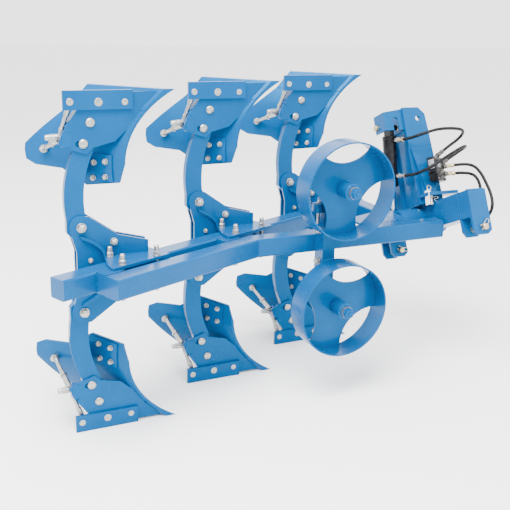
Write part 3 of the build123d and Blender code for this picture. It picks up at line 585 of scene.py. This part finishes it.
class PLOUGH_OT_wheel_fittings(bpy.types.Operator):
    """Hub caps and nuts of the depth wheels, and the fasteners of their post"""

    bl_idname = "plough.wheel_fittings"
    bl_label = "Wheel fittings"

    def execute(self, context):
        cap = master("hub_cap", lambda: joined([
            turned([(0, 24), (3, 25), (5, 25), (6, 22)], 36),
            turned([(6 + z, r) for z, r in hex_rings(36, 14)], 6, 20),
            turned([(19, 9), (24, 9), (25.5, 7.5)], 24)]))
        kit = Kit("hub_nuts", "frame", "blue_paint")
        for side in (1, -1):
            kit.add(cap, PLACE @ toward((WHEEL_X, -160, side * WHEEL_Z), NEAR, 0.25 * side))
        kit.done()
        lip = master("hub_lip", lambda: turned([(0, 34.5), (0, 37), (5, 37), (7, 35), (7, 31)], 40))
        for side, name in ((1, "upper"), (-1, "lower")):
            kit = Kit(f"hub_ring_{name}", f"wheel_{name}", "blue_paint")
            kit.add(lip, PLACE @ toward((WHEEL_X, -139, side * WHEEL_Z), NEAR))
            kit.done()
        usual = master("nut", nut)
        small = master("small_nut", lambda: nut(17, 9, 11.5, 5, 5))
        kit = Kit("post_bolts", "frame", "zinc")
        kit.add(usual, *[PLACE @ toward((1085, 12, z), (-1, 0, 0)) for z in (-70, 66)])
        kit.add(small, PLACE @ toward((1145, 4, -62), (1, 0, 0)))
        kit.add(master("depth_screw", lambda: turned(
            [(0, 6), (3, 7.5), (74, 7.5), (74, 14), (77, 14), (77, 11), (88, 11), (90, 7), (98, 7), (100, 5)],
            18)),
            PLACE @ toward((1064, -2, 102), UPWARD))
        kit.done()
        block = slab((46, 38, 40), 3, (1064, -2, 172))
        kit = Kit("depth_block", "frame", "blue_paint")
        kit.add(block, PLACE).done()
        bpy.data.objects.remove(block)
        return {"FINISHED"}


def bead(points, radius, base):
    """A weld bead along points, with the ripple that each pass leaves."""
    fine = []
    for a, b in zip(points, points[1:]):
        a, b = Vector(a), Vector(b)
        count = max(2, round((b - a).length / 4))
        fine += [a.lerp(b, n / count) for n in range(count)]
    fine.append(Vector(points[-1]))
    made = bent_wire(fine, radius, kind="POLY", swell=(1.0, 0.78), sides=1)
    made.data.transform(base)
    return made


class PLOUGH_OT_welds(bpy.types.Operator):
    """Weld beads where plates and tubes meet"""

    bl_idname = "plough.welds"
    bl_label = "Welds"

    def execute(self, context):
        kit = Kit("welds_headstock", "headstock", "blue_paint")
        runs = []
        for side in (1, -1):
            y = side * 371
            runs.append([(1787, y, 64), (1883, y, 64)])
            for y in (side * 78, side * 64):
                runs.append([(1745, y, 63), (1882, y, 63)])
            runs.append([(1741, side * 79, 341), (1863, side * 79, 341)])
            runs.append([(1784, side * 295, -60), (1784, side * 309, -60), (1784, side * 309, 60)])
        runs.append([(1756, y, 63) for y in (-64, 64)])
        for run in runs:
            kit.things.append(bead(run, 3.5, HEAD))
        kit.done()
        kit = Kit("welds_frame", "frame", "blue_paint")
        for z in (40, -40):
            kit.things.append(bead([(1566, 128, z), (1566, 150, z)], 3.5, PLACE))
            kit.things.append(bead([(1570, 127, z), (1640, 127, z)], 4, PLACE))
        kit.things.append(bead([(1772, 50, 40), (1772, 124, 40)], 3, PLACE))
        kit.things.append(bead([(1772, 47, 38), (1772, 47, -38)], 3, PLACE))
        for s in (75, 710):
            for z in (40, -40):
                kit.things.append(bead([(s, 0, z), (s + 80, 0, z)], 3.5, ALONG_BEAM))
                kit.things.append(bead([(s, -50, z), (s + 80, -50, z)], 3.5, ALONG_BEAM))
        kit.done()
        return {"FINISHED"}


def head_place(point, way):
    """A place in the headstock's frame, with +Z along way."""
    return HEAD @ toward(point, way)


LINK_PIN = (1839, -115)  # x and z of the link pins' line
LINK_PIN_R = 14.2
TOP_PIN_Z = 470  # height of the cylinder's pin


def clip(pin_r):
    """Spring clip: one leg through the pin, one round it, and a curl at the end."""
    leg = [(0, 0, -24), (0, 0, 0), (0, 0, 26), (0, 3, 36), (0, 12, 42), (0, 20, 35), (0, 18, 24),
           (0, pin_r + 3, 14), (0, pin_r - 1, 4), (0, pin_r + 2, -8), (0, pin_r + 6, -18)]
    return bent_wire(leg, 2.2)


class PLOUGH_OT_hitch_pins(bpy.types.Operator):
    """Heads and spring clips of the link pins, the lock pin's ring, and its card tag"""

    bl_idname = "plough.hitch_pins"
    bl_label = "Hitch pins"

    def execute(self, context):
        head = master("pin_head", lambda: turned([(0, 16), (2, 19), (8, 19), (10, 16.5)], 28))
        tip = master("pin_tip", lambda: turned([(0, 14.1), (3, 14.1), (6, 11)], 28))
        spring = master("clip", lambda: clip(LINK_PIN_R))
        kit = Kit("link_pin_ends", "headstock", "zinc_yellow")
        x, z = LINK_PIN
        for end, y, way in ((tip, -401, NEAR), (head, -283, FAR), (tip, 279, NEAR), (head, 397, FAR)):
            kit.add(end, head_place((x, y, z), way))
        kit.done()
        kit = Kit("spring_clips", "headstock", "zinc")
        for y, spin in ((-394, 1.0), (286, 1.9)):
            kit.add(spring, HEAD @ Matrix.Translation((x, y, z)) @ Matrix.Rotation(spin, 4, "Y")
                    @ Matrix.Rotation(math.pi / 2, 4, "Z"))
        ring = [(1771 + 11 * math.cos(a), -130, 132 + 11 * math.sin(a)) for a in
                [n * math.tau / 12 for n in range(12)]]
        hoop = bent_wire(ring, 2.0, cyclic=True)
        hoop.data.transform(HEAD)
        kit.things.append(hoop)
        side_clip = [(1771, -138, 80), (1785, -140, 82), (1800, -142, 84), (1806, -142, 78), (1800, -142, 72),
                     (1788, -141, 74), (1780, -140, 68), (1790, -142, 62), (1804, -143, 60)]
        small = bent_wire(side_clip, 1.6)
        small.data.transform(HEAD)
        kit.things.append(small)
        kit.done()
        card = slab((2.0, 34, 70), 0.6)
        kit = Kit("card_tag", "headstock", "zinc", "card")
        kit.add(card, HEAD @ Matrix.Translation((1748, -136, 82)) @ Matrix.Rotation(0.1, 4, "Y"))
        string = bent_wire(((1771, -130, 118), (1764, -136, 124), (1752, -138, 122), (1748, -137, 112)), 1.2)
        kit.add(string, HEAD)
        bpy.data.objects.remove(string)
        kit.done()
        bpy.data.objects.remove(card)
        top = master("top_pin", lambda: turned([(0, 14), (6, 14), (8, 12)], 28))
        kit = Kit("top_pin_end", "headstock", "zinc_yellow")
        kit.add(top, head_place((1619, 0, TOP_PIN_Z), (-1, 0, 0)))
        kit.done()
        return {"FINISHED"}


CYL_X = 1692.0
PORT_DEPTHS = (-64, -240)  # along the barrel from its pin
CYL_TILT = math.atan2(90.631, 427.738)
BARREL = HEAD @ Matrix.Translation((CYL_X, 0, TOP_PIN_Z)) @ Matrix.Rotation(CYL_TILT, 4, "X")


class PLOUGH_OT_cylinder(bpy.types.Operator):
    """Head, gland, ports and hose ends of the turnover cylinder"""

    bl_idname = "plough.cylinder"
    bl_label = "Cylinder"

    def execute(self, context):
        down = Matrix.Rotation(math.pi, 4, "X")
        collar = turned([(41, 31), (42.5, 34.5), (60, 34.5), (62, 33.2)], 40)
        gland = turned([(262, 33.4), (264, 35), (288, 35), (291, 32), (292, 27), (294, 24), (294, 20)], 40)
        kit = Kit("cylinder_collars", "barrel", "black_paint")
        kit.add(collar, BARREL @ down).add(gland, BARREL @ down)
        kit.done()
        for thing in (collar, gland):
            bpy.data.objects.remove(thing)
        union = turned([(31, 13), (47, 13), (48, 9), (56, 9)], 24)
        hexed = turned([(49 + z, r) for z, r in hex_rings(22, 13)], 6, 20)
        ferrule = turned(
            [(62, 9.2), (64, 11), (74, 11), (76, 9.6), (88, 9.6), (90, 10.8), (98, 10.8), (99, 7.8)], 24)
        port = Matrix.Rotation(math.radians(9), 4, "Z")
        side = Matrix.Rotation(math.pi / 2, 4, "X")
        zinc = Kit("cylinder_unions", "barrel", "zinc")
        upper = Kit("upper_ferrule", "barrel", "zinc_yellow")
        black = Kit("cylinder_bosses", "barrel", "black_paint")
        for z in PORT_DEPTHS:
            place = BARREL @ Matrix.Translation((0, 0, z)) @ port @ side
            black.add(union, place)
            zinc.add(hexed, place)
            (upper if z == PORT_DEPTHS[0] else zinc).add(ferrule, place)
        zinc.done()
        upper.done()
        black.done()
        for thing in (union, hexed, ferrule):
            bpy.data.objects.remove(thing)
        return {"FINISHED"}


VALVE = HEAD @ Matrix.Translation((1829, -135, 215)) @ Matrix.Rotation(math.radians(30), 4, "Z")
# the hoses' routes in the headstock's frame, from the valve outwards
ROUTES = {
    "hose_cylinder_upper": (
        (1890, -125, 305), (1951, -113, 337), (1988, -135, 358), (1993, -179, 377), (1963, -215, 388),
        (1894, -229, 392), (1815, -222, 394), (1757, -183, 386), (1713.1, -117.2, 379.8),
        (1704.6, -64.4, 390.9)),
    "hose_cylinder_lower": (
        (1912, -118, 262), (1952, -116, 281), (1984, -144, 300), (1985, -192, 308), (1949, -223, 303),
        (1879, -231, 277), (1803, -225, 243), (1752, -190, 216), (1722, -140, 205), (1713.1, -80.7, 207.6),
        (1704.6, -27.9, 218.7)),
    "supply_hose_upper": (
        (1932, -138, 231), (1982, -158, 230), (2010, -196, 210), (1996, -250, 160), (1974, -300, 98),
        (1962, -334, 30), (1950, -338, -32), (1922, -300, -78), (1906, -235, -92), (1905, -175, -70),
        (1905, -150, -20), (1905, -150, 30)),
    "supply_hose_lower": (
        (1930, -138, 191), (1975, -156, 187), (2000, -192, 168), (1984, -238, 127), (1957, -272, 82),
        (1936, -306, 38), (1922, -314, -12), (1910, -277, -50), (1906, -224, -50), (1906, -187, -12),
        (1906, -187, 30)),
}


class PLOUGH_OT_valve(bpy.types.Operator):
    """Adaptors, screws and bare plates of the turnover valve"""

    bl_idname = "plough.valve"
    bl_label = "Valve"

    def execute(self, context):
        body = slab((97, 41, 117), 2.5)
        rib = slab((100, 44, 34), 2.5, (0, 0, -22))
        kit = Kit("valve_body", "headstock", "black_paint")
        kit.add(body, VALVE).add(rib, VALVE)
        kit.done("valve_block")
        plate = slab((0.8, 28, 44), 0.3)
        small = slab((34, 0.8, 30), 0.3)
        kit = Kit("valve_plates", "headstock", "zinc", "label")
        kit.add(plate, VALVE @ Matrix.Translation((-48.8, 0, 24)))
        kit.add(small, VALVE @ Matrix.Translation((-8, -20.8, 22)))
        kit.done()
        for thing in (body, rib, plate, small):
            bpy.data.objects.remove(thing)
        screw = master("cap_screw", lambda: turned(
            [(0, 5.5), (5, 5.5), (6, 4.8), (6, 2.8), (3.5, 2.6), (3.5, 0.4)], 18))
        adaptor = master("adaptor", lambda: joined([
            turned([(z - 12, r) for z, r in hex_rings(22, 12)], 6, 20),
            turned([(-1, 9), (5, 9), (6, 8.4)], 20)]))
        crimp = master("crimp", lambda: turned(
            [(-36, 8.4), (-34, 10.6), (-24, 11), (-22, 9.6), (-10, 9.6), (-8, 10.8), (1, 10.8), (2, 7.8)],
            24))
        kit = Kit("valve_screws", "headstock", "zinc", "dark_zinc")
        for x in (-38, 38):
            for z in (-49, 49):
                kit.add(screw, VALVE @ toward((x, -20, z), NEAR))
        yellow = Kit("supply_ferrules", "headstock", "zinc_yellow")
        for name, route in ROUTES.items():
            start, way = Vector(route[0]), (Vector(route[1]) - Vector(route[0])).normalized()
            kit.add(adaptor, head_place(start - way * 37, way))
            (yellow if name.startswith("supply") else kit).add(crimp, head_place(start, way))
        kit.done()
        yellow.done()
        return {"FINISHED"}


def spline_length(thing):
    """The length of a curve's own line, in metres."""
    held = thing.data.bevel_depth
    thing.data.bevel_depth = 0
    mesh = bpy.data.meshes.new_from_object(thing)
    thing.data.bevel_depth = held
    points = [v.co for v in mesh.vertices]
    total = sum((a - b).length for a, b in zip(points, points[1:]))
    bpy.data.meshes.remove(mesh)
    return total


class PLOUGH_OT_hoses(bpy.types.Operator):
    """The four hydraulic hoses"""

    bl_idname = "plough.hoses"
    bl_label = "Hoses"

    def execute(self, context):
        for name, route in ROUTES.items():
            curve = bpy.data.curves.new(name, "CURVE")
            curve.dimensions = "3D"
            spline = curve.splines.new("NURBS")
            spline.points.add(len(route) - 1)
            for slot, point in zip(spline.points, route):
                slot.co = (*(HEAD @ Vector(point)), 1)
                slot.radius = HOSE_R * MM
            spline.order_u = 3
            spline.use_endpoint_u = True
            curve.resolution_u = 24
            curve.bevel_depth = 1.0  # times the points' radius, by which the curve's own box grows
            curve.bevel_resolution = 6
            curve.use_fill_caps = True
            curve.materials.append(MATERIALS["hose_rubber"])
            piece = bpy.data.objects.new(name + "_cover", curve)
            bpy.context.collection.objects.link(piece)
            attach(piece, "headstock")
            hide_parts(name)
            round(spline_length(piece), 3)
        return {"FINISHED"}


class PLOUGH_OT_stage(bpy.types.Operator):
    """Floor, lights and camera"""

    bl_idname = "plough.stage"
    bl_label = "Studio"

    def execute(self, context):
        look = context.scene.plough_stage
        clear()
        bpy.ops.mesh.primitive_plane_add(size=60, location=(0, 0, -0.001))
        floor = bpy.context.object
        floor.name = "studio_floor"
        settle(floor)
        shade = Shade("studio_floor", Specular_IOR_Level=0.0)
        speck = shade.noise(3.0, 4.0)
        shade.feed("Base Color", shade.blend(speck, (0.90, 0.90, 0.90), (0.94, 0.94, 0.94)))
        shade.feed("Roughness", speck * 0.1 + 0.9)
        floor.data.materials.append(shade.material)

        world = bpy.data.worlds.new("studio")
        world.use_nodes = True
        world.node_tree.nodes["Background"].inputs[0].default_value = (1.0, 1.0, 1.0, 1)
        world.node_tree.nodes["Background"].inputs[1].default_value = look.sky
        context.scene.world = world
        for name, place, target, size, power in (
            ("key", (-1.6, -1.6, 4.8), (0, 0, 0.6), 3.0, look.key),
            ("fill", (3.6, -4.2, 2.6), (0.3, 0, 0.6), 3.5, look.fill),
            ("back", (0.5, 4.5, 3.6), (0, 0, 0.6), 3.5, look.back),
        ):
            lamp = bpy.data.lights.new(name, "AREA")
            lamp.energy, lamp.size = power, size
            thing = bpy.data.objects.new(name, lamp)
            context.collection.objects.link(thing)
            thing.location = place
            thing.rotation_mode = "QUATERNION"
            thing.rotation_quaternion = (Vector(target) - Vector(place)).to_track_quat("-Z", "Y")

        yaw, pitch, roll = CAMERA_YAW, CAMERA_PITCH, CAMERA_ROLL
        ahead = Vector((math.cos(pitch) * math.cos(yaw), math.cos(pitch) * math.sin(yaw), -math.sin(pitch)))
        level = Vector((math.sin(yaw), -math.cos(yaw), 0))
        upward = level.cross(ahead)
        right = math.cos(roll) * level + math.sin(roll) * upward
        up = right.cross(ahead)
        cam = bpy.data.cameras.new("camera")
        cam.lens, cam.sensor_width = look.lens, 36.0
        thing = bpy.data.objects.new("camera", cam)
        context.collection.objects.link(thing)
        thing.matrix_world = Matrix.Translation(ORIGIN + CAMERA_FROM_HEEL) @ Matrix(
            (right, up, -ahead)).transposed().to_4x4()
        context.scene.camera = thing
        return {"FINISHED"}


class PloughLook(bpy.types.PropertyGroup):
    blue: FloatVectorProperty(
        name="Blue", description="Colour of the enamel", subtype="COLOR", size=3, default=(0.0, 0.055, 0.17))
    gloss: FloatProperty(
        name="Dullness", description="Least roughness of the enamel", default=0.2, min=0, max=1)
    coat: FloatProperty(name="Lacquer", description="Weight of the clear coat", default=0.05, min=0, max=1)


class PloughStage(bpy.types.PropertyGroup):
    lens: FloatProperty(name="Lens", description="Focal length of the camera in millimetres", default=56.6)
    sky: FloatProperty(name="Sky", description="Strength of the light from all round", default=2.9)
    key: FloatProperty(name="Key", description="Power of the main light", subtype="POWER", default=800.0)
    fill: FloatProperty(
        name="Fill", description="Power of the light from ahead", subtype="POWER", default=60.0)
    back: FloatProperty(
        name="Back", description="Power of the light from the far side", subtype="POWER", default=60.0)


OPERATORS = (
    PLOUGH_OT_finishes, PLOUGH_OT_stage, PLOUGH_OT_hoses, PLOUGH_OT_body_bolts, PLOUGH_OT_clamp_nuts,
    PLOUGH_OT_stays, PLOUGH_OT_wheel_fittings, PLOUGH_OT_welds, PLOUGH_OT_hitch_pins, PLOUGH_OT_cylinder,
    PLOUGH_OT_valve,
)


class PLOUGH_PT_panel(bpy.types.Panel):
    """Lists what can be made again"""

    bl_label = "Plough"
    bl_idname = "PLOUGH_PT_panel"
    bl_space_type = "VIEW_3D"
    bl_region_type = "UI"
    bl_category = "Plough"

    def draw(self, context):
        for operator in OPERATORS:
            self.layout.operator(operator.bl_idname)
        for group in (context.scene.plough_look, context.scene.plough_stage):
            for name in group.__annotations__:
                self.layout.prop(group, name)


CLASSES = (PloughLook, PloughStage, *OPERATORS, PLOUGH_PT_panel)


def register():
    for cls in CLASSES:
        bpy.utils.register_class(cls)
    bpy.types.Scene.plough_look = PointerProperty(type=PloughLook)
    bpy.types.Scene.plough_stage = PointerProperty(type=PloughStage)


def unregister():
    del bpy.types.Scene.plough_stage
    del bpy.types.Scene.plough_look
    for cls in reversed(CLASSES):
        bpy.utils.unregister_class(cls)


def main():
    register()
    for operator in OPERATORS:
        group, name = operator.bl_idname.split(".")
        getattr(getattr(bpy.ops, group), name)()
    drop_masters()
    bpy.context.view_layer.update()


if __name__ == "__main__":
    main()
